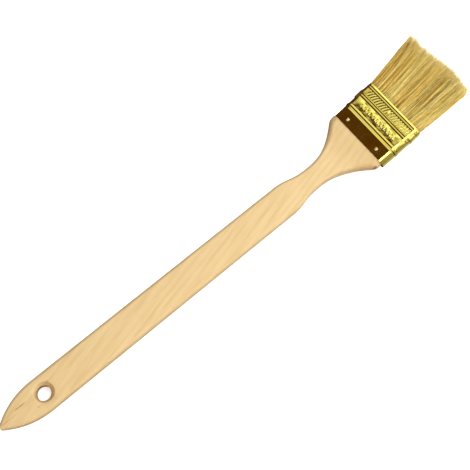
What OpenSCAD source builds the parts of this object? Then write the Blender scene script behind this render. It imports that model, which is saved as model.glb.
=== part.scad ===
// Flat natural-bristle paint brush with a long beech handle and a head bent up from it.
// The brush lies on its back. X runs along the handle from the tail to the bristles, Y across
// the brush with +Y on the left seen from the tail, and +Z is up, out of the front face.
// The origin is the middle of the whole brush, on the plane that the handle's back lies on.

/* [Handle] */
// Length of the handle from its tail to the corners of the flare, along its middle
handle_l = 306.3; // [260:0.1:340]
// Width of the parallel body
body_w = 23; // [21:0.2:28]
// Thickness of the body
body_t = 10.5; // [9:0.5:12]
// Radius of the long edges
edge_r = 2.4; // [1.6:0.2:4.2]
// Radius of the edges where the wood meets the ferrule
collar_r = 5.6; // [4:0.1:6]
// Length of the pointed tail
tail_l = 31; // [22:1:32]
// Width of the blunt tip of the tail
tip_w = 2.6; // [2:0.2:5]
// Thickness of the tip of the tail
tip_t = 7; // [5:0.5:9]
// Width of the waist below the flare
waist_w = 15.9; // [14:0.1:20]
// Length of the waist itself
waist_l = 5; // [0:0.5:12]
// Length over which the body narrows to the waist
shoulder_l = 23.5; // [16:0.5:40]
// Length from the waist to the corners of the flare
flare_l = 38; // [32:1:50]
// How hollow the flare is: 1 is a straight flare
flare_power = 2.2; // [1.3:0.1:2.6]
// Width of the wood over the corners of the flare
flare_w = 50.2; // [42:0.2:50.4]
// Thickness of the wood where it meets the ferrule
flare_t = 13; // [12:0.1:13.2]
// Height of the wood that stands between the corners and the ferrule
collar_h = 5.1; // [2:0.1:8]

/* [Bend] */
// Angle that the head is bent up from the handle
head_angle = 20; // [8:1:30]
// Length of handle that curves, measured back from the corners of the flare
bend_l = 23.3; // [16:0.1:36]

/* [Hanging hole] */
// Diameter of the hole
hole_d = 9.4; // [6:0.2:12]
// Distance from the tip of the tail to the middle of the hole
hole_x = 33; // [33:0.5:60]
// Depth and width of the countersink on each face
hole_chamfer = 1.6; // [0.5:0.1:2]

/* [Ferrule] */
// Height of the ferrule
ferrule_h = 34.7; // [30:0.1:44]
// Outer width at the handle end
ferrule_low_w = 51.4; // [51.4:0.1:53]
// Outer thickness at the handle end
ferrule_low_t = 14.2; // [14.2:0.1:16]
// Outer width at the rim
ferrule_rim_w = 52.2; // [50:0.1:54]
// Outer thickness at the rim
ferrule_rim_t = 13.4; // [12.6:0.1:16]
// Corner radius at the handle end
ferrule_low_r = 6.2; // [5.8:0.1:6.6]
// Corner radius at the rim
ferrule_rim_r = 5.6; // [4:0.1:6]
// Thickness of the sheet metal
sheet_t = 0.45; // [0.3:0.05:0.6]
// Rise of the wide roll below the patterned band
roll_rise = 0.6; // [0.3:0.1:1]
// Rise of the two narrow beads, on each side of the knurled band
bead_rise = 0.3; // [0.1:0.1:0.6]
// Rise of the middle of the knurled band above the sheet
knurl_rise = 0.35; // [0.1:0.05:0.6]

/* [Nails] */
// Diameter of the nail shank
nail_d = 1.3; // [1:0.1:1.8]
// Length of the nail below its head
nail_l = 8; // [5:0.5:9]
// Diameter of the nail head
nail_head_d = 2.6; // [2:0.1:3.4]
// Height of the domed nail head
nail_head_h = 0.8; // [0.5:0.1:1.2]
// Height of the nails above the handle end of the ferrule
nail_h = 4.4; // [3:0.1:8]
// Distance of the front nails from the middle of the brush
nail_front_y = 14.8; // [12:0.1:18]
// Distance of the back nails from the middle of the brush
nail_back_y = 9.6; // [6:0.1:10.5]

/* [Bristles] */
// Length of the bristles that stands out of the ferrule
bristle_l = 48; // [35:0.1:60]
// Width of the bristles at their tips
bristle_tip_w = 60.5; // [50:0.5:66]
// Thickness of the bristles at their tips
bristle_tip_t = 10.5; // [7:0.5:14]
// Length of the wooden tenon inside the ferrule
tenon_l = 20; // [16:0.5:22]
// Height of the glue setting that holds the bristle roots
resin_h = 7; // [5:0.5:8]
// Width of the filler strip between the two banks of bristles
filler_w = 40; // [30:1:42]
// Thickness of the filler strip
filler_t = 3.2; // [2:0.2:5]
// Height of the filler strip
filler_h = 11; // [8:0.5:12]

/* [Hidden] */
$fn = 48;

// Steps round one corner of a cross-section
corner_steps = 6;
// Clearance that keeps fitted pieces from sharing volume
fit_gap = 0.02;
// Wood left below the back face, which one flat cut takes off
back_trim = 0.25;
// Softness of the corners of the flare
corner_soft = 1.6;
// Distance over which the wood steps in to the tenon
tenon_step = 0.3;
// Diameter of the tip of a nail
nail_tip_d = 0.2;
// Corner radius of the bristles outside the ferrule
bristle_r = 4.6;
// How late the bristles spread: 1 is a straight taper
bristle_spread = 1.2;
// How far a cutting shape reaches past the face that it cuts
reach = 1;

waist_x = handle_l - flare_l;
narrow_x = waist_x - waist_l;
shoulder_x = narrow_x - shoulder_l;
bend_x = handle_l - bend_l;
bend_r = bend_l * 180 / (PI * head_angle);
tail_drop = (body_w - tip_w) / 2;
tail_r = (tail_l * tail_l + tail_drop * tail_drop) / (2 * tail_drop);
mid_z = (body_t - back_trim) / 2;

// Heights along the head, measured from the corners of the flare
rim_h = collar_h + ferrule_h;
tenon_top = collar_h + tenon_l;
resin_top = tenon_top + resin_h;
tip_h = rim_h + bristle_l;

// Raised bands above the handle end of the ferrule: [middle, width, rise]
beads = [[12.5, 3.8, roll_rise], [23.8, 1, bead_rise], [32, 1, bead_rise],
         [28, 5.8, knurl_rise]];

// Length of the whole brush along X, from the tail to the back edge of the bristle tips
head_x = bend_x + bend_r * sin(head_angle);
total_l = head_x + tip_h * cos(head_angle) + bristle_tip_t / 2 * sin(head_angle);
origin_x = total_l / 2;

// Points of a rounded rectangle, w wide in Y and t thick in Z, anticlockwise from its right side
function section(w, t, r) = [
    for (c = [[1, 1, 0], [-1, 1, 90], [-1, -1, 180], [1, -1, 270]], i = [0:corner_steps])
        let (a = c[2] + 90 * i / corner_steps)
        [c[0] * (w / 2 - r) + r * cos(a), c[1] * (t / 2 - r) + r * sin(a)]];

// Solid through a list of rings with the same number of points each
module loft(rings) {
    n = len(rings[0]);
    last = len(rings) - 1;
    sides = [for (k = [0:last - 1], i = [0:n - 1])
        let (j = (i + 1) % n, a = k * n, b = (k + 1) * n)
        each [[a + i, b + j, a + j], [a + i, b + i, b + j]]];
    caps = [[for (i = [0:n - 1]) i], [for (i = [n - 1:-1:0]) last * n + i]];
    polyhedron(points = [for (ring = rings) each ring], faces = concat(sides, caps), convexity = 6);
}

// Turn from the handle's direction at a distance u from the tail
function turn(u) = u < bend_x ? 0 : min(1, (u - bend_x) / bend_l) * head_angle;

// Middle of the wood at a distance u from the tail: straight, then an arc, then straight
function middle(u) =
    let (a = turn(u), past = max(0, u - handle_l))
    u < bend_x ? [u, mid_z]
    : [bend_x + bend_r * sin(a) + past * cos(a), mid_z + bend_r * (1 - cos(a)) + past * sin(a)];

// A cross-section set square to the middle line at u
function ring_at(u, points) =
    let (a = turn(u), m = middle(u))
    [for (p = points) [m[0] - p[1] * sin(a) - origin_x, p[0], m[1] + p[1] * cos(a)]];

// The lesser of two values, rounded where they cross
function soft_min(a, b, k) = (a + b - sqrt((a - b) * (a - b) + k * k)) / 2;

// Half of the handle's width at u: pointed tail, parallel body, eased shoulder, hollow flare
function half_width(u) =
    u < tail_l ? body_w / 2 - tail_r + sqrt(tail_r * tail_r - (tail_l - u) * (tail_l - u))
    : u < shoulder_x ? body_w / 2
    : u < narrow_x ? waist_w / 2 + (body_w - waist_w) / 4 * (1 - cos(180 * (narrow_x - u) / shoulder_l))
    : u < waist_x ? waist_w / 2
    : soft_min(waist_w / 2 + (flare_w - waist_w) / 2 * pow((u - waist_x) / flare_l, flare_power),
               flare_w / 2, corner_soft);

// Smooth step from 0 to 1
function ease(s) = let (c = max(0, min(1, s))) c * c * (3 - 2 * c);

// Thickness of the wood at u: thinned at the tip, thicker where the head begins
function wood_t(u) =
    tip_t + (body_t + back_trim - tip_t) * sqrt(max(0, min(1, u / (tail_l / 2))))
    + (flare_t - body_t - back_trim) * ease((u - bend_x) / bend_l);

// Radius of the wood's edges at u: rounder where the head begins
function wood_r(u) = edge_r + (collar_r - edge_r) * ease((u - bend_x) / bend_l);

function wood_section(u) =
    let (w = 2 * half_width(u), t = wood_t(u))
    section(w, t, min(wood_r(u), w / 2 - 0.1, t / 2 - 0.1));

// Cross-section of the ferrule at a height h above its handle end, moved out by a distance
function ferrule_section(h, out) =
    let (s = h / ferrule_h)
    section(ferrule_low_w + (ferrule_rim_w - ferrule_low_w) * s + 2 * out,
            ferrule_low_t + (ferrule_rim_t - ferrule_low_t) * s + 2 * out,
            ferrule_low_r + (ferrule_rim_r - ferrule_low_r) * s + out);

// How far the pressed beads stand out of the sheet at a height h above its handle end
function bead_out(h) = max([for (b = beads)
    b[2] * sqrt(max(0, 1 - pow(2 * (h - b[0]) / b[1], 2)))]);

// Places its children in the head's frame: Z along the head from the corners of the flare,
// Y across, X towards the back
module in_head() {
    m = middle(handle_l);
    translate([m[0] - origin_x, 0, m[1]]) rotate([0, 90 - head_angle, 0]) children();
}

// One nail along -Z with the underside of its head on Z = 0
module nail_shape() {
    dome_r = (nail_head_d * nail_head_d / 4 + nail_head_h * nail_head_h) / (2 * nail_head_h);
    point_l = nail_d * 1.5;
    intersection() {
        translate([0, 0, nail_head_h - dome_r]) sphere(r = dome_r);
        cylinder(d = nail_head_d + reach, h = nail_head_h + reach);
    }
    translate([0, 0, point_l - nail_l]) cylinder(d = nail_d, h = nail_l - point_l);
    translate([0, 0, -nail_l]) cylinder(d1 = nail_tip_d, d2 = nail_d, h = point_l);
}

// A nail in its place: face is 1 on the front and -1 on the back
module nail_at(face, y) {
    wall = ferrule_low_t / 2 + (ferrule_rim_t - ferrule_low_t) / 2 * nail_h / ferrule_h;
    in_head() translate([-face * (wall + fit_gap), y, collar_h + nail_h])
        rotate([0, -90 * face, 0]) nail_shape();
}

module all_nails() {
    for (side = [-1, 1]) {
        nail_at(1, side * nail_front_y);
        nail_at(-1, side * nail_back_y);
    }
}

// The hanging hole from the back face up, with a countersink at each end
module hole_cut() {
    wide = hole_d + 2 * hole_chamfer;
    translate([0, 0, -reach]) cylinder(d = hole_d, h = body_t + 2 * reach);
    translate([0, 0, -fit_gap / 2]) cylinder(d1 = wide, d2 = hole_d, h = hole_chamfer);
    translate([0, 0, body_t - hole_chamfer + fit_gap / 2])
        cylinder(d1 = hole_d, d2 = wide, h = hole_chamfer);
}

module handle() {
    tail_steps = [for (i = [0:9]) tail_l * pow(i / 9, 1.4)];
    shoulder_steps = [for (i = [0:9]) shoulder_x + shoulder_l * i / 9];
    flare_steps = [for (i = [0:18]) waist_x + flare_l * i / 18];
    collar_steps = [for (h = [0.8, 1.8, collar_h]) handle_l + h];
    steps = concat(tail_steps, shoulder_steps, flare_steps, collar_steps);
    wood = [for (u = steps) ring_at(u, wood_section(u))];
    tenon = [for (h = [tenon_step, tenon_l])
        ring_at(handle_l + collar_h + h, ferrule_section(h, -sheet_t - fit_gap))];
    color("burlywood") difference() {
        loft(concat(wood, tenon));
        translate([-total_l, -body_w * 2, -body_t]) cube([total_l * 2, body_w * 4, body_t]);
        translate([hole_x - origin_x, 0, 0]) hole_cut();
        all_nails();
    }
}

module ferrule() {
    bead_steps = [for (b = beads, i = [-4:4]) b[0] + b[1] / 2 * sin(90 * i / 4)];
    plain_steps = [0, nail_h, ferrule_h];
    order = function(v) len(v) < 2 ? v
        : let (p = v[0]) concat(order([for (i = [1:len(v) - 1]) if (v[i] < p) v[i]]), [p],
                                order([for (i = [1:len(v) - 1]) if (v[i] >= p) v[i]]));
    steps = order(concat(plain_steps, bead_steps));
    outside = [for (h = steps) ring_at(handle_l + collar_h + h, ferrule_section(h, bead_out(h)))];
    inside = [for (h = [-reach, ferrule_h + reach])
        ring_at(handle_l + collar_h + h, ferrule_section(h, -sheet_t))];
    color("gold") difference() {
        loft(outside);
        loft(inside);
        all_nails();
    }
}

module nail_front_left() { color("silver") nail_at(1, nail_front_y); }
module nail_front_right() { color("silver") nail_at(1, -nail_front_y); }
module nail_back_left() { color("silver") nail_at(-1, nail_back_y); }
module nail_back_right() { color("silver") nail_at(-1, -nail_back_y); }

// The strip stands on the end of the tenon and spreads the two banks of bristles
module filler_block(gap) {
    in_head() translate([-filler_t / 2 - gap, -filler_w / 2 - gap, tenon_top + fit_gap - gap])
        cube([filler_t + 2 * gap, filler_w + 2 * gap, filler_h + 2 * gap]);
}

module filler_strip() { color("peru") filler_block(0); }

module resin_setting() {
    color("saddlebrown") difference() {
        loft([for (h = [tenon_top + fit_gap, resin_top])
            ring_at(handle_l + h, ferrule_section(h - collar_h, -sheet_t - fit_gap))]);
        filler_block(fit_gap);
    }
}

// Both banks as one closed form: it fills the ferrule, then widens and thins towards the tips
module bristle_pack() {
    start_w = ferrule_rim_w - 2 * sheet_t;
    start_t = ferrule_rim_t - 2 * sheet_t;
    inside = [for (h = [resin_top + fit_gap, rim_h])
        ring_at(handle_l + h, ferrule_section(h - collar_h, -sheet_t - 2 * fit_gap))];
    outside = [for (i = [1:8])
        let (s = i / 8,
             w = start_w + (bristle_tip_w - start_w) * pow(s, bristle_spread),
             t = start_t + (bristle_tip_t - start_t) * s)
        ring_at(handle_l + rim_h + bristle_l * s, section(w, t, bristle_r))];
    loft(concat(inside, outside));
}

// The half of the pack on one face: 1 is the front and -1 the back
module bristle_bank(face) {
    deep = 2 * ferrule_low_t;
    difference() {
        intersection() {
            bristle_pack();
            in_head() translate([face > 0 ? -deep - fit_gap / 2 : fit_gap / 2, -bristle_tip_w, 0])
                cube([deep, 2 * bristle_tip_w, 2 * tip_h]);
        }
        filler_block(fit_gap);
    }
}

module bristles_front() { color("tan") bristle_bank(1); }
module bristles_back() { color("darkkhaki") bristle_bank(-1); }

handle();
ferrule();
nail_front_left();
nail_front_right();
nail_back_left();
nail_back_right();
filler_strip();
resin_setting();
bristles_front();
bristles_back();
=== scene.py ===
"""A flat natural-bristle brush with a long bent beech handle, lying on its back on a pale floor.

Lengths are in millimetres until a mesh is made; meshes, lights and the camera are in metres.
"""
import math

import bmesh
import bpy
import numpy as np
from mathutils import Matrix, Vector


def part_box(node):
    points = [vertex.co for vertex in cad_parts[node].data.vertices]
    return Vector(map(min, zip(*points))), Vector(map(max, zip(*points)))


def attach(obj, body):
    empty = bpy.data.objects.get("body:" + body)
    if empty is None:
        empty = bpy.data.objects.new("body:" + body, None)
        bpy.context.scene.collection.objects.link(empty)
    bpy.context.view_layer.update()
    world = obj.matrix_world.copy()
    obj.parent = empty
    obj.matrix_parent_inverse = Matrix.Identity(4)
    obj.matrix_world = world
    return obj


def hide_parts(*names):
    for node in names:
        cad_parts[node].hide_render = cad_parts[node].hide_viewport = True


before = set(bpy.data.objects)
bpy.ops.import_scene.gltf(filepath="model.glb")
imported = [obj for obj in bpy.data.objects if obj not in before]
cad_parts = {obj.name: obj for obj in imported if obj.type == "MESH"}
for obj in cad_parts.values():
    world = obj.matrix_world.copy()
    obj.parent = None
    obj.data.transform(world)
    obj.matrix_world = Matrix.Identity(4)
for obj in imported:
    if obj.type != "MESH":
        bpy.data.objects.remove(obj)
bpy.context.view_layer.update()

MM = 0.001

# ---------------------------------------------------------------- driving dimensions (mm)
BODY_W, BODY_T, EDGE_R, COLLAR_R = 23.0, 10.5, 2.4, 5.6
TAIL_L, TIP_W, TIP_T = 31.0, 2.6, 7.0
WAIST_W, WAIST_L, SHOULDER_L = 15.9, 5.0, 23.5
FLARE_L, FLARE_POWER, FLARE_W, FLARE_T, COLLAR_H, CORNER_SOFT = 38.0, 2.2, 50.2, 13.0, 5.1, 1.6
HANDLE_L, HEAD_ANGLE, BEND_L = 306.3, math.radians(20), 23.3
HOLE_X, HOLE_R, BEVEL, BEVEL_SHIFT = 33.0, 4.7, 1.8, 0.8
# Direction in which the painted shade on the hole's bevel is strongest
BEVEL_SHADED_SIDE = (0.88, -0.47, 0)
FERRULE_H, SHEET_T = 34.7, 0.45
LOW_W, LOW_T, LOW_R = 51.4, 14.2, 6.2
RIM_W, RIM_T, RIM_R = 52.2, 13.4, 5.6
BRISTLE_L, TIPS_W, TIPS_T = 48.0, 60.5, 10.5

TAIL_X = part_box("handle")[0].x / MM
WAIST_X = HANDLE_L - FLARE_L
NARROW_X = WAIST_X - WAIST_L
SHOULDER_X = NARROW_X - SHOULDER_L
BEND_X = HANDLE_L - BEND_L
BEND_R = BEND_L / HEAD_ANGLE
MID_Z = BODY_T / 2


# ---------------------------------------------------------------- shared geometry
def smooth_step(low, high, x):
    """0 at low, 1 at high and eased in between; low may be the larger of the two."""
    s = np.clip((x - low) / (high - low), 0, 1)
    return s * s * (3 - 2 * s)


def turn(u):
    """Angle of the middle line at a distance u from the tail."""
    return HEAD_ANGLE * np.clip((u - BEND_X) / BEND_L, 0, 1)


def place(u, across, out):
    """Points at distance u along the middle line, across to +Y and out of the front face, in metres."""
    a = turn(u)
    past = np.maximum(0, u - HANDLE_L)
    bent = u > BEND_X
    x = np.where(bent, BEND_X + BEND_R * np.sin(a) + past * np.cos(a), u)
    z = MID_Z + np.where(bent, BEND_R * (1 - np.cos(a)) + past * np.sin(a), 0)
    points = np.stack([TAIL_X + x - out * np.sin(a), across + 0 * u, z + out * np.cos(a)], -1)
    return points * MM


def rounded_rectangle(w, t, r, steps):
    """Points and outward normals of a rounded rectangle, anticlockwise from its +Y side."""
    points, normals = [], []
    for sy, sz, start in ((1, 1, 0), (-1, 1, 90), (-1, -1, 180), (1, -1, 270)):
        for a in np.radians(start + np.linspace(0, 90, steps + 1)):
            points.append((sy * (w / 2 - r) + r * math.cos(a), sz * (t / 2 - r) + r * math.sin(a)))
            normals.append((math.cos(a), math.sin(a)))
    return np.array(points), np.array(normals)


def grid_faces(rows, columns):
    """Quads of a tube of rows rings with columns points each."""
    k, i = np.meshgrid(np.arange(rows - 1), np.arange(columns), indexing="ij")
    j = (i + 1) % columns
    a, b = k * columns, (k + 1) * columns
    return np.stack([a + i, a + j, b + j, b + i], -1).reshape(-1, 4)


def capped_tube(rings):
    """Faces of a tube through the rings, closed by a cap at each end."""
    count = len(rings[0])
    last = (len(rings) - 1) * count
    return [*grid_faces(len(rings), count), list(range(count))[::-1], [last + i for i in range(count)]]


def new_mesh(name, points, faces, smooth_angle=35):
    """A mesh object, smooth but for edges sharper than smooth_angle degrees."""
    mesh = bpy.data.meshes.new(name)
    mesh.from_pydata(np.asarray(points).tolist(), [], [list(map(int, f)) for f in faces])
    mesh.validate()
    obj = bpy.data.objects.new(name, mesh)
    bpy.context.scene.collection.objects.link(obj)
    if smooth_angle is not None:
        shade(obj, smooth_angle)
    return obj


def shade(obj, smooth_angle):
    """Smooth faces, with a hard edge wherever two of them meet at more than smooth_angle degrees."""
    bm = bmesh.new()
    bm.from_mesh(obj.data)
    limit = math.radians(smooth_angle)
    for face in bm.faces:
        face.smooth = True
    for edge in bm.edges:
        edge.smooth = len(edge.link_faces) == 2 and edge.calc_face_angle(0) < limit
    bm.to_mesh(obj.data)
    bm.free()


# ---------------------------------------------------------------- node helpers
class Nodes:
    """Builds a node tree: each call adds a node and returns its first output."""

    def __init__(self, tree):
        self.tree = tree
        tree.nodes.clear()

    def put(self, socket, value):
        if isinstance(value, bpy.types.NodeSocket):
            self.tree.links.new(value, socket)
        else:
            socket.default_value = value

    def node(self, kind, inputs=None, out=0, **settings):
        n = self.tree.nodes.new(kind)
        for key, value in settings.items():
            setattr(n, key, value)
        for key, value in (inputs or {}).items():
            self.put(n.inputs[key], value)
        return n.outputs[out]

    def place(self, scale, slant=0.0):
        """Object coordinates turned by a slant about Z, then stretched by a scale per axis (1/m)."""
        coords = self.node("ShaderNodeTexCoord", out="Object")
        coords = self.node("ShaderNodeVectorRotate", {"Vector": coords, "Angle": -slant},
                           rotation_type="Z_AXIS")
        return self.node("ShaderNodeMapping", {"Vector": coords, "Scale": scale})

    def noise(self, vector, detail=3.0, rough=0.5):
        return self.node("ShaderNodeTexNoise", {"Vector": vector, "Scale": 1.0, "Detail": detail,
                                                "Roughness": rough})

    def ramp(self, value, *stops):
        """Colour ramp through (position, colour) stops; a colour may be one grey number."""
        socket = self.node("ShaderNodeValToRGB", {"Fac": value})
        ramp = socket.node.color_ramp
        while len(ramp.elements) < len(stops):
            ramp.elements.new(0.5)
        for element, (position, colour) in zip(ramp.elements, stops):
            element.position = position
            grey = isinstance(colour, (int, float))
            element.color = (*((colour,) * 3 if grey else colour), 1)
        return socket

    def math(self, operation, a, b=0.0):
        return self.node("ShaderNodeMath", {0: a, 1: b}, operation=operation)

    def mix(self, factor, a, b, blend="MIX"):
        return self.node("ShaderNodeMixRGB", {"Fac": factor, "Color1": a, "Color2": b}, blend_type=blend)

    def stored(self, name):
        """A number stored on the mesh's points."""
        return self.node("ShaderNodeAttribute", out="Fac", attribute_name=name)

    def patch(self, middle, reach):
        """1 in the middle of an ellipsoid (mm along the handle from the tail, across, up), 0 at its edge."""
        coords = self.node("ShaderNodeTexCoord", out="Object")
        middle = ((middle[0] + TAIL_X) * MM, middle[1] * MM, middle[2] * MM)
        off = self.node("ShaderNodeVectorMath", {0: coords, 1: middle}, operation="SUBTRACT")
        per_reach = [1 / (r * MM) for r in reach]
        off = self.node("ShaderNodeVectorMath", {0: off, 1: per_reach}, operation="MULTIPLY")
        far = self.node("ShaderNodeVectorMath", {0: off}, out="Value", operation="LENGTH")
        return self.node("ShaderNodeMapRange", {"Value": far, "From Min": 1.0, "From Max": 0.3,
                                                "To Min": 0.0, "To Max": 1.0},
                         interpolation_type="SMOOTHSTEP")

    def bevel_painted_shade(self):
        """Painted shade on the bevel of the hanging hole: 1 on the bevel, darkest towards the head and the
        right, 0 away from it.
        """
        coords = self.node("ShaderNodeTexCoord", out="Object")
        middle = ((HOLE_X + BEVEL_SHIFT + TAIL_X) * MM, 0, 0)
        off = self.node("ShaderNodeVectorMath", {0: coords, 1: middle}, operation="SUBTRACT")
        off = self.node("ShaderNodeVectorMath", {0: off, 1: (1, 1, 0)}, operation="MULTIPLY")
        far = self.node("ShaderNodeVectorMath", {0: off}, out="Value", operation="LENGTH")
        inside = self.node("ShaderNodeMapRange", {"Value": far, "From Min": (HOLE_R + BEVEL + 0.25) * MM,
                                                  "From Max": (HOLE_R + BEVEL - 0.15) * MM})
        off = self.node("ShaderNodeVectorMath", {0: off}, operation="NORMALIZE")
        ahead = self.node("ShaderNodeVectorMath", {0: off, 1: BEVEL_SHADED_SIDE}, out="Value",
                          operation="DOT_PRODUCT")
        darker = self.node("ShaderNodeMapRange", {"Value": ahead, "From Min": -1.0, "From Max": 0.9,
                                                  "To Min": 0.1, "To Max": 1.0})
        return self.math("MULTIPLY", inside, darker)

    def bump(self, height, strength, distance):
        return self.node("ShaderNodeBump", {"Height": height, "Strength": strength, "Distance": distance})

    def output(self, kind, surface):
        self.tree.links.new(surface, self.tree.nodes.new(kind).inputs["Surface"])


class Shader(Nodes):
    """The node tree of a new material, which surface() completes."""

    def __init__(self, name):
        self.material = bpy.data.materials.new(name)
        self.material.use_nodes = True
        super().__init__(self.material.node_tree)

    def surface(self, **inputs):
        sockets = {key.replace("_", " "): value for key, value in inputs.items()}
        self.output("ShaderNodeOutputMaterial", self.node("ShaderNodeBsdfPrincipled", sockets))
        return self.material


def rgb(r, g, b):
    """Linear colour from 0-255 sRGB values."""
    return tuple((c / 255 / 12.92) if c <= 10 else ((c / 255 + 0.055) / 1.055) ** 2.4 for c in (r, g, b))


def rgba(r, g, b):
    return (*rgb(r, g, b), 1)


# ---------------------------------------------------------------- materials
GRAIN_SLANT = 0.24
# Dark brown spots: middle (mm along, across, up), reach (mm) and strength
DARK_SPOTS = (((17.2, 2.5, 10.5), (5.5, 0.8, 3.0), 0.6), ((7.0, 0.2, 9.5), (8.0, 0.45, 4.0), 0.35),
          ((38.8, 4.2, 10.5), (1.4, 1.2, 3.0), 0.5), ((304.4, -24.2, 12.4), (2.5, 1.9, 3.6), 1.8),
          ((26.0, -5.2, 10.5), (1.2, 0.8, 3.0), 0.3))


def beech():
    """Pale beech, its grain slightly across the handle, with soft bands, short flecks and fine fibres."""
    m = Shader("beech_wood")
    bands = m.node("ShaderNodeTexWave", {"Vector": m.place((2.2, 62.0, 40.0), GRAIN_SLANT), "Scale": 1.0,
                                         "Distortion": 7.0, "Detail": 3.0, "Detail Scale": 0.8,
                                         "Detail Roughness": 0.55},
                   wave_type="BANDS", bands_direction="Y", wave_profile="SIN")
    figure = m.ramp(bands, (0.0, rgb(213, 185, 133)), (0.4, rgb(218, 192, 139)), (1.0, rgb(220, 194, 141)))
    drift = m.noise(m.place((14.0, 75.0, 60.0), GRAIN_SLANT), detail=4.0, rough=0.6)
    warm = m.ramp(drift, (0.35, rgb(211, 182, 128)), (0.65, rgb(222, 197, 145)))
    colour = m.mix(0.5, figure, warm)
    streak = m.noise(m.place((34.0, 330.0, 200.0), GRAIN_SLANT), detail=3.0, rough=0.55)
    colour = m.mix(0.6, colour, m.ramp(streak, (0.30, rgb(239, 233, 222)), (0.55, 1.0)), "MULTIPLY")
    fibre = m.noise(m.place((60.0, 1500.0, 1300.0), GRAIN_SLANT * 0.5), detail=3.0, rough=0.6)
    colour = m.mix(0.4, colour, m.ramp(fibre, (0.3, 0.90), (0.7, 1.0)), "MULTIPLY")
    fleck = m.noise(m.place((330.0, 2300.0, 2300.0)), detail=1.0, rough=0.4)
    marks = m.ramp(fleck, (0.66, 0.0), (0.74, 1.0))
    colour = m.mix(m.math("MULTIPLY", marks, 0.30), colour, rgba(186, 150, 98))
    torn = m.ramp(m.noise(m.place((260.0, 1500.0, 1500.0)), detail=2.0), (0.30, 0.0), (0.48, 1.0))
    for middle, reach, strength in DARK_SPOTS:
        spot_tint = m.math("MULTIPLY", m.math("MULTIPLY", m.patch(middle, reach), torn), strength)
        colour = m.mix(spot_tint, colour, rgba(118, 82, 42))
    # Painted shade on the hole's bevel, strongest towards the head and the right
    colour = m.mix(m.math("MULTIPLY", m.bevel_painted_shade(), 0.8), colour, rgba(168, 130, 80))
    # Painted shade along the rounded edges, strongest on the left edge
    colour = m.mix(m.math("MULTIPLY", m.stored("edge"), 0.38), colour, rgba(146, 126, 92))
    pores = m.ramp(m.noise(m.place((900.0, 1400.0, 1400.0)), detail=2.0), (0.35, 0.72), (0.6, 1.0))
    sawn = m.mix(1.0, rgba(200, 156, 98), pores, "MULTIPLY")
    colour = m.mix(m.math("MULTIPLY", m.stored("end_grain"), 0.6), colour, sawn)
    height = m.math("SUBTRACT", m.math("MULTIPLY", fibre, 0.7), m.math("MULTIPLY", marks, 0.5))
    rough = m.ramp(drift, (0.3, 0.40), (0.7, 0.52))
    return m.surface(Base_Color=colour, Roughness=rough, IOR=1.45, Coat_Weight=0.12, Coat_Roughness=0.35,
                     Normal=m.bump(height, 0.25, 0.00006))


def gold_sheet():
    """Bright gold-lacquered steel sheet with soft smudges, a slight waviness and faint rolling marks."""
    m = Shader("gold_lacquered_sheet")
    smudge = m.noise(m.place((95.0, 95.0, 95.0)), detail=4.0, rough=0.6)
    colour = m.ramp(smudge, (0.3, rgb(240, 226, 108)), (0.7, rgb(248, 238, 126)))
    rolling = m.noise(m.place((2500.0, 90.0, 2500.0)), detail=2.0)
    dents = m.noise(m.place((210.0, 130.0, 210.0)), detail=2.0)
    height = m.math("ADD", m.math("MULTIPLY", rolling, 0.12), dents)
    rough = m.ramp(smudge, (0.3, 0.07), (0.75, 0.16))
    return m.surface(Base_Color=colour, Metallic=1.0, Roughness=rough, Normal=m.bump(height, 0.22, 0.0003))


def nail_steel():
    """Bright steel with fine hammer and handling marks."""
    m = Shader("bright_nail_steel")
    marks = m.noise(m.place((1800.0, 1800.0, 1800.0)), detail=3.0)
    colour = m.ramp(marks, (0.3, rgb(226, 206, 140)), (0.7, rgb(250, 238, 190)))
    rough = m.ramp(marks, (0.3, 0.05), (0.7, 0.16))
    return m.surface(Base_Color=colour, Metallic=1.0, Roughness=rough, Normal=m.bump(marks, 0.3, 0.00006))


def sawn_strip():
    """Raw sawn softwood strip."""
    m = Shader("raw_sawn_strip")
    grain = m.noise(m.place((60.0, 900.0, 900.0)), detail=4.0)
    colour = m.ramp(grain, (0.3, rgb(168, 128, 84)), (0.7, rgb(206, 168, 118)))
    return m.surface(Base_Color=colour, Roughness=0.8, Normal=m.bump(grain, 0.5, 0.0002))


def set_glue():
    """Amber-brown glue that has set round the bristle roots."""
    m = Shader("set_glue")
    cloud = m.noise(m.place((300.0, 300.0, 300.0)), detail=4.0)
    colour = m.ramp(cloud, (0.3, rgb(74, 46, 18)), (0.7, rgb(128, 84, 36)))
    return m.surface(Base_Color=colour, Roughness=0.35, Normal=m.bump(cloud, 0.4, 0.0003))


def bristle():
    """Hog bristle: each hair has its own tone, darker at the root, and a pale translucent tip."""
    m = Shader("golden_hog_bristle")
    along = m.stored("along")
    hair = m.ramp(m.stored("tone"), (0.0, rgb(100, 64, 8)), (0.25, rgb(194, 148, 50)),
                  (0.6, rgb(246, 210, 104)), (1.0, rgb(255, 243, 156)))
    patch = m.noise(m.place((260.0, 900.0, 900.0)), detail=3.0)
    hair = m.mix(0.6, hair, m.ramp(patch, (0.3, 0.7), (0.7, 1.0)), "MULTIPLY")
    colour = m.mix(m.ramp(along, (0.86, 0.0), (1.0, 0.7)), hair, rgba(255, 240, 168))
    colour = m.mix(1.0, colour, m.ramp(along, (0.0, 0.85), (0.12, 1.0)), "MULTIPLY")
    return m.surface(Base_Color=colour, Roughness=0.5, IOR=1.45, Specular_IOR_Level=0.3,
                     Normal=m.bump(patch, 0.2, 0.00004))


def studio_floor():
    """White table that glows a little, so that nothing below the brush looks grey."""
    m = Shader("pale_floor")
    cloud = m.noise(m.place((3.0, 3.0, 3.0)), detail=2.0)
    colour = m.ramp(cloud, (0.3, 0.90), (0.7, 0.93))
    return m.surface(Base_Color=colour, Roughness=0.9, Specular_IOR_Level=0.1,
                     Emission_Color=(1, 1, 1, 1), Emission_Strength=0.7)


# ---------------------------------------------------------------- handle
EDGE_STEPS = 12
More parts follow.
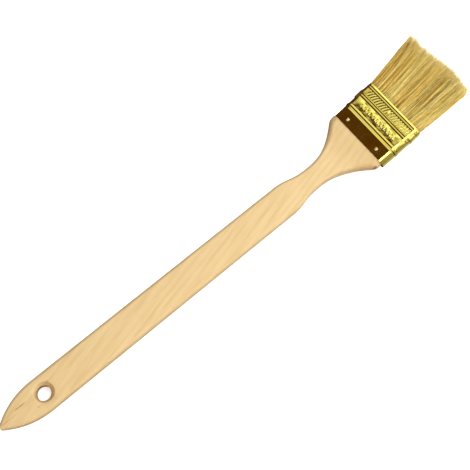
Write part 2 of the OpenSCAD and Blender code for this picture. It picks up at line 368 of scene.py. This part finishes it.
# The wood inside the ferrule: how far it is drawn, and how much narrower it is to clear the shifted wall
WOOD_INSIDE, WOOD_GAP = 6.0, 3.5
HOLE_POINTS, CUT_PAST = 72, 1.0
# Painted shade on rounded edges: its gain, what a side face alone gets, and the share left on the right
EDGE_SHADE_GAIN, EDGE_SHADE_SIDE, EDGE_SHADE_RIGHT = 2.2, 0.3, 0.3
# How much a face leans along the handle where end grain starts to show, and until it shows in full
END_FROM, END_SPAN = 0.35, 0.5


def half_width(u):
    """Half the handle's width: arched tail, straight body, eased waist, hollow flare with soft corners."""
    drop = (BODY_W - TIP_W) / 2
    r = (TAIL_L ** 2 + drop ** 2) / (2 * drop)
    if u < TAIL_L:
        return BODY_W / 2 - r + math.sqrt(r * r - (TAIL_L - u) ** 2)
    if u < SHOULDER_X:
        return BODY_W / 2
    if u < NARROW_X:
        return WAIST_W / 2 + (BODY_W - WAIST_W) / 4 * (1 - math.cos(math.pi * (NARROW_X - u) / SHOULDER_L))
    if u < WAIST_X:
        return WAIST_W / 2
    a = WAIST_W / 2 + (FLARE_W - WAIST_W) / 2 * ((u - WAIST_X) / FLARE_L) ** FLARE_POWER
    b = FLARE_W / 2
    return (a + b - math.hypot(a - b, CORNER_SOFT)) / 2


def wood_thickness(u):
    tail = math.sqrt(min(1, u / (TAIL_L / 2)))
    return TIP_T + (BODY_T - TIP_T) * tail + (FLARE_T - BODY_T) * smooth_step(BEND_X, HANDLE_L, u)


def wood_radius(u):
    return EDGE_R + (COLLAR_R - EDGE_R) * smooth_step(BEND_X, HANDLE_L, u)


def make_handle():
    """The handle as one tube of rings, then its hole, painted edge shade and end grain."""
    tail = TAIL_L * np.linspace(0, 1, 26) ** 1.5
    body = np.linspace(TAIL_L, SHOULDER_X, 30)[1:]
    shoulder = np.linspace(SHOULDER_X, HANDLE_L, 70)[1:]
    collar = HANDLE_L + np.array([0.4, 0.9, 1.6, 2.6, COLLAR_H, COLLAR_H + 0.1, COLLAR_H + WOOD_INSIDE])
    rings = []
    for u in np.concatenate([tail, body, shoulder, collar]):
        narrower = WOOD_GAP if u > HANDLE_L + COLLAR_H else 0
        w, t = 2 * half_width(u) - narrower, wood_thickness(u)
        points, _ = rounded_rectangle(w, t, min(wood_radius(u), w / 2 - 0.1, t / 2 - 0.1), EDGE_STEPS)
        rings.append(place(np.full(len(points), u), points[:, 0], points[:, 1]))
    handle = new_mesh("beech_handle", np.concatenate(rings), capped_tube(rings), smooth_angle=None)
    cut_hole(handle)
    mark_wood(handle)
    shade(handle, 40)
    handle.data.materials.append(beech())
    return handle


def cut_hole(handle):
    """The hanging hole, with a countersink at each end that was drilled a little off its middle."""
    c = BEVEL
    bevel = [(0.0, c + 0.3), (0.05, c + 0.08), (0.2, c - 0.18), (c - 0.15, 0.16), (c, 0.05), (c + 0.15, 0.0)]
    low = [(HOLE_R + out, depth) for out, depth in reversed(bevel)]
    high = [(HOLE_R + out, BODY_T - depth) for out, depth in bevel]
    profile = [(low[0][0], -CUT_PAST)] + low + high + [(high[-1][0], BODY_T + CUT_PAST)]
    around = np.linspace(0, 2 * math.pi, HOLE_POINTS, endpoint=False)
    rings = [np.stack([TAIL_X + HOLE_X + BEVEL_SHIFT * (r - HOLE_R) / c + r * np.cos(around),
                       r * np.sin(around), np.full(HOLE_POINTS, z)], -1) * MM for r, z in profile]
    cutter = new_mesh("hole_cutter", np.concatenate(rings), capped_tube(rings), smooth_angle=None)
    boolean = handle.modifiers.new("hole", "BOOLEAN")
    boolean.object = cutter
    boolean.solver = "EXACT"
    cut = bpy.data.meshes.new_from_object(handle.evaluated_get(bpy.context.evaluated_depsgraph_get()))
    handle.modifiers.clear()
    handle.data = cut
    bpy.data.objects.remove(cutter)


def mark_wood(handle):
    """Stores the painted shade on rounded edges, most on the left, and how much end grain each point shows."""
    mesh = handle.data
    bm = bmesh.new()
    bm.from_mesh(mesh)
    bm.normal_update()
    edge, end = [], []
    for v in bm.verts:
        n = v.normal
        edge.append(min(1.0, EDGE_SHADE_GAIN * abs(n.y) * (abs(n.z) + EDGE_SHADE_SIDE)) * (1.0 if n.y > 0 else EDGE_SHADE_RIGHT))
        end.append(min(1.0, max(0.0, (abs(n.x) - END_FROM) / END_SPAN)))
    bm.free()
    for name, values in (("edge", edge), ("end_grain", end)):
        mesh.attributes.new(name, "FLOAT", "POINT").data.foreach_set("value", values)


# ---------------------------------------------------------------- ferrule
# Bands of the ferrule, from its handle end (mm)
FERRULE_Y = -1.3
ROLL_MID, ROLL_FLAT, ROLL_HALF, ROLL_RISE = 12.5, 0.55, 1.75, 0.45
PANEL_FOOT, PANEL_LOW, PANEL_HIGH, PANEL_RISE, PANEL_WAVE = 10.05, 14.2, 22.25, 0.82, 0.35
# How fast the panel falls away from its foot, and the radians per mm of the wave along that foot
PANEL_FALL, PANEL_WAVE_RATE = 1.55, 0.35
DENT = 0.035
BEADS, BEAD_HALF, BEAD_RISE = (23.8, 32.0), 0.38, 0.17
KNURL_LOW, KNURL_HIGH, KNURL_RISE = 25.15, 30.75, 0.50
KNURL_PITCH, KNURL_DEPTH, KNURL_SLANT = 2.25, 0.18, 0.2
LIP_LOW, LIP_DEPTH, LIP_CURL = 33.4, 0.28, 1.1
MOTIF_MID, MOTIF_PITCH, MOTIF_DEPTH = 18.4, 3.1, 0.13
SEAM_HALF, SEAM_RISE = 2.2, 0.4
# How far past the flat of a face the panel starts and stops fading out
FADE_FROM, FADE_TO = 3.0, 6.5
# Points of one section: steps round a corner, and spaces along a face and an end
CORNER_STEPS, FACE_SPACES, END_SPACES = 10, 270, 16
# Gap between a bead's foot and the extra row of mesh that keeps its groove crisp
BESIDE = 0.05


def pressed_motif(s, h):
    """Generic pressed motif, repeated across the panel: upright ovals with a pair of dots between them."""
    a = (s + MOTIF_PITCH / 2) % MOTIF_PITCH - MOTIF_PITCH / 2
    b = h - MOTIF_MID
    oval = smooth_step(1.0, 0.4, np.hypot(a / 0.85, b / 2.5))
    dots = smooth_step(1.0, 0.3, np.hypot((np.abs(a) - MOTIF_PITCH / 2) / 0.6, (np.abs(b) - 1.4) / 0.8))
    return MOTIF_DEPTH * np.maximum(oval, 0.7 * dots)


def ferrule_out(s, h, half_flat, back):
    """How far the sheet stands out, at s across from the middle of a face and a height h.

    The folded seam runs up the middle of the back only.
    """
    on_flat = smooth_step(half_flat + FADE_TO, half_flat + FADE_FROM, np.abs(s))
    low = PANEL_LOW + PANEL_WAVE * np.sin(PANEL_WAVE_RATE * s + 1.0)
    panel = PANEL_RISE * smooth_step(PANEL_FOOT, ROLL_MID - ROLL_FLAT, h)
    panel = panel * (1 - np.clip((h - low) / (PANEL_HIGH - low), 0, 1) ** PANEL_FALL)
    dents = DENT * smooth_step(0, 1.5, h - low) * smooth_step(0, 1.5, PANEL_HIGH - h)
    dents = dents * (np.sin(0.71 * s + 0.6) + np.sin(1.23 * s + 0.5 * h) + np.sin(0.45 * s - 0.8 * h + 2))
    motif = pressed_motif(s, h) * smooth_step(half_flat - 1.5, half_flat - 3.0, np.abs(s))
    roll = ROLL_RISE * (1 - smooth_step(ROLL_FLAT, ROLL_HALF, abs(h - ROLL_MID)))
    beads = sum(BEAD_RISE * np.clip(1 - np.abs(h - middle) / BEAD_HALF, 0, 1) for middle in BEADS)
    up = smooth_step(KNURL_LOW, KNURL_LOW + 0.45, h) * (h < KNURL_HIGH)
    knurl = up * KNURL_RISE * (KNURL_HIGH - h) / (KNURL_HIGH - KNURL_LOW)
    ridge = np.cos(2 * math.pi * (s / KNURL_PITCH + KNURL_SLANT * (h - KNURL_LOW)))
    knurl = knurl + up * smooth_step(KNURL_HIGH, KNURL_HIGH - 0.5, h) * KNURL_DEPTH / 2 * ridge
    lip = LIP_DEPTH * np.clip((h - LIP_LOW) / (FERRULE_H - LIP_LOW), 0, 1) ** LIP_CURL
    seam = SEAM_RISE * smooth_step(SEAM_HALF + 0.15, SEAM_HALF - 0.15, np.abs(s)) if back else 0
    return roll + (panel + motif + dents) * on_flat + beads + knurl + seam - lip


def ferrule_section(h):
    """Points and outward normals of the sheet at height h, evenly spaced along each side."""
    k = h / FERRULE_H
    w, t, r = (low + (rim - low) * k for low, rim in ((LOW_W, RIM_W), (LOW_T, RIM_T), (LOW_R, RIM_R)))
    corners, normals = rounded_rectangle(w, t, r, CORNER_STEPS)
    n = CORNER_STEPS + 1
    points, outs = [], []
    for c in range(4):
        start, following = corners[(c + 1) * n - 1], corners[((c + 1) % 4) * n]
        points += list(corners[c * n:(c + 1) * n])
        outs += list(normals[c * n:(c + 1) * n])
        count = FACE_SPACES if c % 2 == 0 else END_SPACES
        points += [start + (following - start) * i / count for i in range(1, count)]
        outs += [normals[(c + 1) * n - 1]] * (count - 1)
    return np.array(points), np.array(outs)


def ferrule_heights():
    """Rows of the mesh: close together wherever a band curves."""
    rows = [0.0, 0.4, 2.5, 5.0, 7.5, 9.5, 9.9]
    rows += list(np.linspace(10.1, 14.5, 20)) + list(np.linspace(14.75, 22.25, 32)) + [22.31]
    for middle in BEADS:
        rows += list(middle + BEAD_HALF * np.linspace(-1, 1, 7))
        rows += [middle - BEAD_HALF - BESIDE, middle + BEAD_HALF + BESIDE]
    rows += [25.1, 25.15, 25.25, 25.35, 25.45, 25.6]
    rows += list(np.linspace(26.0, 30.25, 10)) + [30.5, 30.74, 30.77]
    rows += [30.82, 33.35, 33.4, 33.45, 33.6, 33.9, 34.2, 34.45, FERRULE_H]
    return sorted(rows)


def ferrule_ring(h, points):
    """One ring of the sheet at height h, from its points across and out of the front face."""
    return place(np.full(len(points), HANDLE_L + COLLAR_H + h), points[:, 0] + FERRULE_Y, points[:, 1])


def make_ferrule():
    """The sheet as one closed skin: up the outside, over the lip and straight down the inside."""
    half_flat = LOW_W / 2 - LOW_R
    rings = []
    for h in ferrule_heights():
        points, normals = ferrule_section(h)
        reach_out = np.abs(points[:, 0]) + np.maximum(0, LOW_T / 2 - np.abs(points[:, 1])) * 0.6
        s = np.sign(points[:, 0]) * reach_out
        front, back = ferrule_out(s, h, half_flat, False), ferrule_out(s, h, half_flat, True)
        out = np.where(points[:, 1] > 0, front, back)
        rings.append(ferrule_ring(h, points + normals * out[:, None]))
    for h in (FERRULE_H, 0.0):
        points, normals = ferrule_section(h)
        rings.append(ferrule_ring(h, points - normals * (SHEET_T + (LIP_DEPTH if h else 0))))
    columns = len(rings[0])
    last = (len(rings) - 1) * columns
    faces = list(grid_faces(len(rings), columns))
    faces += [[last + i, last + (i + 1) % columns, (i + 1) % columns, i] for i in range(columns)]
    ferrule = new_mesh("gold_ferrule", np.concatenate(rings), faces, smooth_angle=50)
    ferrule.data.materials.append(gold_sheet())
    return ferrule


# ---------------------------------------------------------------- bristles
LOCKS, LOCK_HAIRS = 730, 6
HAIR_D, HAIR_RINGS, HAIR_SIDES = 0.28, 8, 3
ROOT_DEPTH = 5.0
ROOT_Y, TIPS_RIGHT, TIPS_LEFT = -0.95, -27.4, 31.8
# Room between the roots and the ferrule, across and through the pack
ROOT_ROOM_W, ROOT_ROOM_T = 1.2, 0.6
# Spread of the tips across and through the pack: of whole locks, then of the hairs in a lock
TIP_SPREAD_Y, TIP_SPREAD_Z = (1.1, 0.5), (0.35, 0.3)
# How much longer a lock is, and by how much locks differ; how much shorter its hairs are
LOCK_LONGER, LOCK_DIFFER, HAIR_SHORTER = 0.5, 1.25, 2.3
# Share of the hairs that are broken off, and the least and most that they lose
BROKEN_SHARE, BROKEN_LEAST, BROKEN_MOST = 0.10, 1, 9
# The tips stop this far inside the pack's right edge, past its left edge, and inside its thickness
STOP_RIGHT, STOP_LEFT, STOP_T = 0.6, 0.7, 0.15
# How much a hair thins towards its tip, and what is left of it in the last ring
HAIR_TAPER, HAIR_POINT = 0.3, 0.3


def hair_end(y):
    """Length of the bristles at a place across the brush: longest a little to the right of the middle."""
    return BRISTLE_L - 0.4 - 3.4 * (1 - math.e ** -(((y + 9) / 15) ** 2))


def make_bank(name, face, seed):
    """One bank of hairs in locks: face 1 is the front half of the pack, -1 the back half."""
    rng = np.random.default_rng(seed)
    count = LOCKS * LOCK_HAIRS

    def per_lock(values):
        return np.repeat(values, LOCK_HAIRS)

    def spread(middle, lock, hair):
        return per_lock(rng.normal(middle, lock, LOCKS)) + rng.normal(0, hair, count)

    across = per_lock(rng.uniform(-1, 1, LOCKS)) + rng.normal(0, 0.012, count)
    depth = per_lock(rng.uniform(0, 1, LOCKS) ** 0.6) + rng.normal(0, 0.05, count)
    across, depth = np.clip(across, -1, 1), np.clip(depth, 0, 1)
    depth *= face * np.sqrt(1 - 0.8 * np.clip((np.abs(across) - 0.84) / 0.16, 0, 1) ** 2)
    root_w, root_t = RIM_W - 2 * SHEET_T - ROOT_ROOM_W, RIM_T - 2 * SHEET_T - ROOT_ROOM_T
    root_y, root_z = ROOT_Y + across * root_w / 2, depth * root_t / 2
    tip_y = TIPS_RIGHT + (TIPS_LEFT - TIPS_RIGHT) * (across + 1) / 2
    tip_y += spread(0, *TIP_SPREAD_Y)
    tip_y = np.clip(tip_y, -TIPS_W / 2 + STOP_RIGHT, TIPS_W / 2 + STOP_LEFT)
    tip_z = depth * (TIPS_T / 2 - 0.5) + spread(0, *TIP_SPREAD_Z)
    tip_z = np.clip(tip_z, -TIPS_T / 2 + STOP_T, TIPS_T / 2 - STOP_T)
    length = hair_end(tip_y) + per_lock(rng.normal(LOCK_LONGER, LOCK_DIFFER, LOCKS))
    length -= rng.exponential(HAIR_SHORTER, count)
    length -= (rng.uniform(0, 1, count) < BROKEN_SHARE) * rng.uniform(BROKEN_LEAST, BROKEN_MOST, count)
    length = np.minimum(length, BRISTLE_L - 0.15)
    tone = spread(0.62, 0.25, 0.22)
    sway_y = spread(0, 0.3, 0.35)
    sway_z = spread(0, 0.22, 0.18)
    wave = rng.uniform(0, 2 * math.pi, count)
    spin, size = rng.uniform(0, math.pi, count), rng.uniform(0.75, 1.15, count)

    verts = np.empty((count, HAIR_RINGS, HAIR_SIDES, 3))
    along = np.empty((count, HAIR_RINGS, HAIR_SIDES))
    for k in range(HAIR_RINGS):
        s = k / (HAIR_RINGS - 1)
        h = -ROOT_DEPTH + (length + ROOT_DEPTH) * s
        t = np.clip(h / BRISTLE_L, 0, 1)
        bow = np.sin(math.pi * t)
        y = root_y + (tip_y - root_y) * t ** 1.2 + sway_y * bow + 0.12 * bow * np.sin(9 * t + wave)
        z = root_z + (tip_z - root_z) * t + sway_z * bow
        radius = HAIR_D / 2 * size * (1.0 - HAIR_TAPER * s) * (HAIR_POINT if k == HAIR_RINGS - 1 else 1)
        u = HANDLE_L + COLLAR_H + FERRULE_H + h
        for q in range(HAIR_SIDES):
            a = spin + 2 * math.pi * q / HAIR_SIDES
            verts[:, k, q] = place(u, y + radius * np.cos(a), z + radius * np.sin(a))
            along[:, k, q] = np.clip(h / np.maximum(length, 1), 0, 1)
    corner = np.arange(HAIR_SIDES)
    ends = np.array([(HAIR_RINGS - 1) * HAIR_SIDES + corner, corner[::-1]])
    per = HAIR_RINGS * HAIR_SIDES
    first = (np.arange(count) * per)[:, None, None]
    faces = [corners for part in (grid_faces(HAIR_RINGS, HAIR_SIDES), ends)
             for corners in (part[None] + first).reshape(-1, part.shape[1])]
    bank = new_mesh(name, verts.reshape(-1, 3), faces, smooth_angle=None)
    bank.data.shade_smooth()
    for key, values in (("tone", np.repeat(np.clip(tone, 0, 1), per)), ("along", along.reshape(-1))):
        attribute = bank.data.attributes.new(key, "FLOAT", "POINT")
        attribute.data.foreach_set("value", values.astype(np.float32))
    return bank


# ---------------------------------------------------------------- build
handle = make_handle()
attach(handle, "root")
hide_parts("handle")

ferrule = make_ferrule()
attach(ferrule, "root")
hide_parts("ferrule")

hair = bristle()
for bank_name, node, face, seed in (("front_bristle_hairs", "bristles_front", 1, 11),
                                    ("back_bristle_hairs", "bristles_back", -1, 23)):
    bank = make_bank(bank_name, face, seed)
    bank.data.materials.append(hair)
    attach(bank, "root")
    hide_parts(node)

steel, strip, glue = nail_steel(), sawn_strip(), set_glue()
for node, material in (("nail_front_left", steel), ("nail_front_right", steel), ("nail_back_left", steel),
                       ("nail_back_right", steel), ("filler_strip", strip), ("resin_setting", glue)):
    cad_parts[node].material_slots[0].material = material

# ---------------------------------------------------------------- floor, lights, camera
FLOOR_HALF, FLOOR_Z = 3.0, -0.0003
corners = [(x * FLOOR_HALF, y * FLOOR_HALF, FLOOR_Z) for x, y in ((-1, -1), (1, -1), (1, 1), (-1, 1))]
floor = new_mesh("floor", corners, [(0, 1, 2, 3)], smooth_angle=None)
floor.data.materials.append(studio_floor())


def area_light(name, place_at, aim, size, power):
    """A white rectangular light at a place, turned towards another."""
    data = bpy.data.lights.new(name, "AREA")
    data.shape = "RECTANGLE"
    data.size, data.size_y = size
    data.energy = power
    light = bpy.data.objects.new(name, data)
    light.location = place_at
    light.rotation_euler = (Vector(aim) - Vector(place_at)).to_track_quat("-Z", "Y").to_euler()
    bpy.context.scene.collection.objects.link(light)
    return light


def lobe(w, direction, squash, outer, inner, strength):
    """Soft patch of light round a direction, from the cosine where it starts to where it is full.

    A squash below 1 draws the patch out along Y.
    """
    coords = w.node("ShaderNodeTexCoord", out="Generated")
    coords = w.node("ShaderNodeVectorMath", {0: coords, 1: (1, squash, 1)}, operation="MULTIPLY")
    coords = w.node("ShaderNodeVectorMath", {0: coords}, operation="NORMALIZE")
    facing = w.node("ShaderNodeVectorMath", {0: coords, 1: Vector(direction).normalized()},
                    out="Value", operation="DOT_PRODUCT")
    return w.node("ShaderNodeMapRange", {"Value": facing, "From Min": outer, "From Max": inner,
                                         "To Min": 0.0, "To Max": strength},
                  interpolation_type="SMOOTHSTEP")


# Direction, squash, cosines where the patch starts and is full, and strength
LOBES = (((0.72, -0.05, 0.69), 0.35, 0.59, 0.82, 0.87),      # past the bristles
         ((-0.85, 0.0, 0.35), 0.35, 0.69, 0.88, 0.85),       # past the tail
         ((0.28, 0.0, 0.96), 0.35, 0.985, 0.9985, 0.5),      # narrow strip overhead
         ((0.1, -0.95, 0.3), 1.0, 0.60, 0.85, 0.27),         # to the right
         ((0.47, -0.45, -0.76), 1.0, 0.80, 0.93, 0.55))      # below, to the right of the head
ROOM = (0.083, 0.030, 0.003, 1)


def studio_world():
    """A dim warm room lit by the soft patches in LOBES."""
    world = bpy.data.worlds.new("studio")
    world.use_nodes = True
    w = Nodes(world.node_tree)
    total = 0.0
    for patch in LOBES:
        total = w.math("ADD", lobe(w, *patch), total)
    glow = w.node("ShaderNodeCombineXYZ", {0: total, 1: total, 2: total})
    colour = w.mix(1.0, glow, ROOM, "ADD")
    w.output("ShaderNodeOutputWorld", w.node("ShaderNodeBackground", {"Color": colour, "Strength": 1.0}))
    bpy.context.scene.world = world


softbox = area_light("softbox_right", (0.04, -0.394, 0.743), (0.13, 0, 0.03), (0.28, 0.35), 0.95)
softbox.visible_diffuse = False
for name, place_at, aim, size, power in (("fill_above", (0.22, 0.0, 0.9), (0.08, 0, 0), (0.5, 0.5), 4.6),
                                         ("fill_right", (0.06, -0.8, 0.22), (0.06, 0, 0), (0.5, 0.2), 3.0)):
    area_light(name, place_at, aim, size, power).visible_glossy = False
studio_world()
floor.visible_diffuse = False
floor.visible_glossy = False
bpy.context.scene.view_settings.view_transform = "Standard"

SENSOR, LENS = 36.0, 56.39
CAMERA_AT = (TAIL_X * MM + 0.05995, -0.08834, 0.48771)
CAMERA_TURN = (18.08, -5.059, -40.944)
camera_data = bpy.data.cameras.new("camera")
camera_data.sensor_width = SENSOR
camera_data.lens = LENS
camera_data.clip_start = 0.01
camera = bpy.data.objects.new("camera", camera_data)
camera.location = CAMERA_AT
camera.rotation_euler = tuple(math.radians(a) for a in CAMERA_TURN)
bpy.context.scene.collection.objects.link(camera)
bpy.context.scene.camera = camera
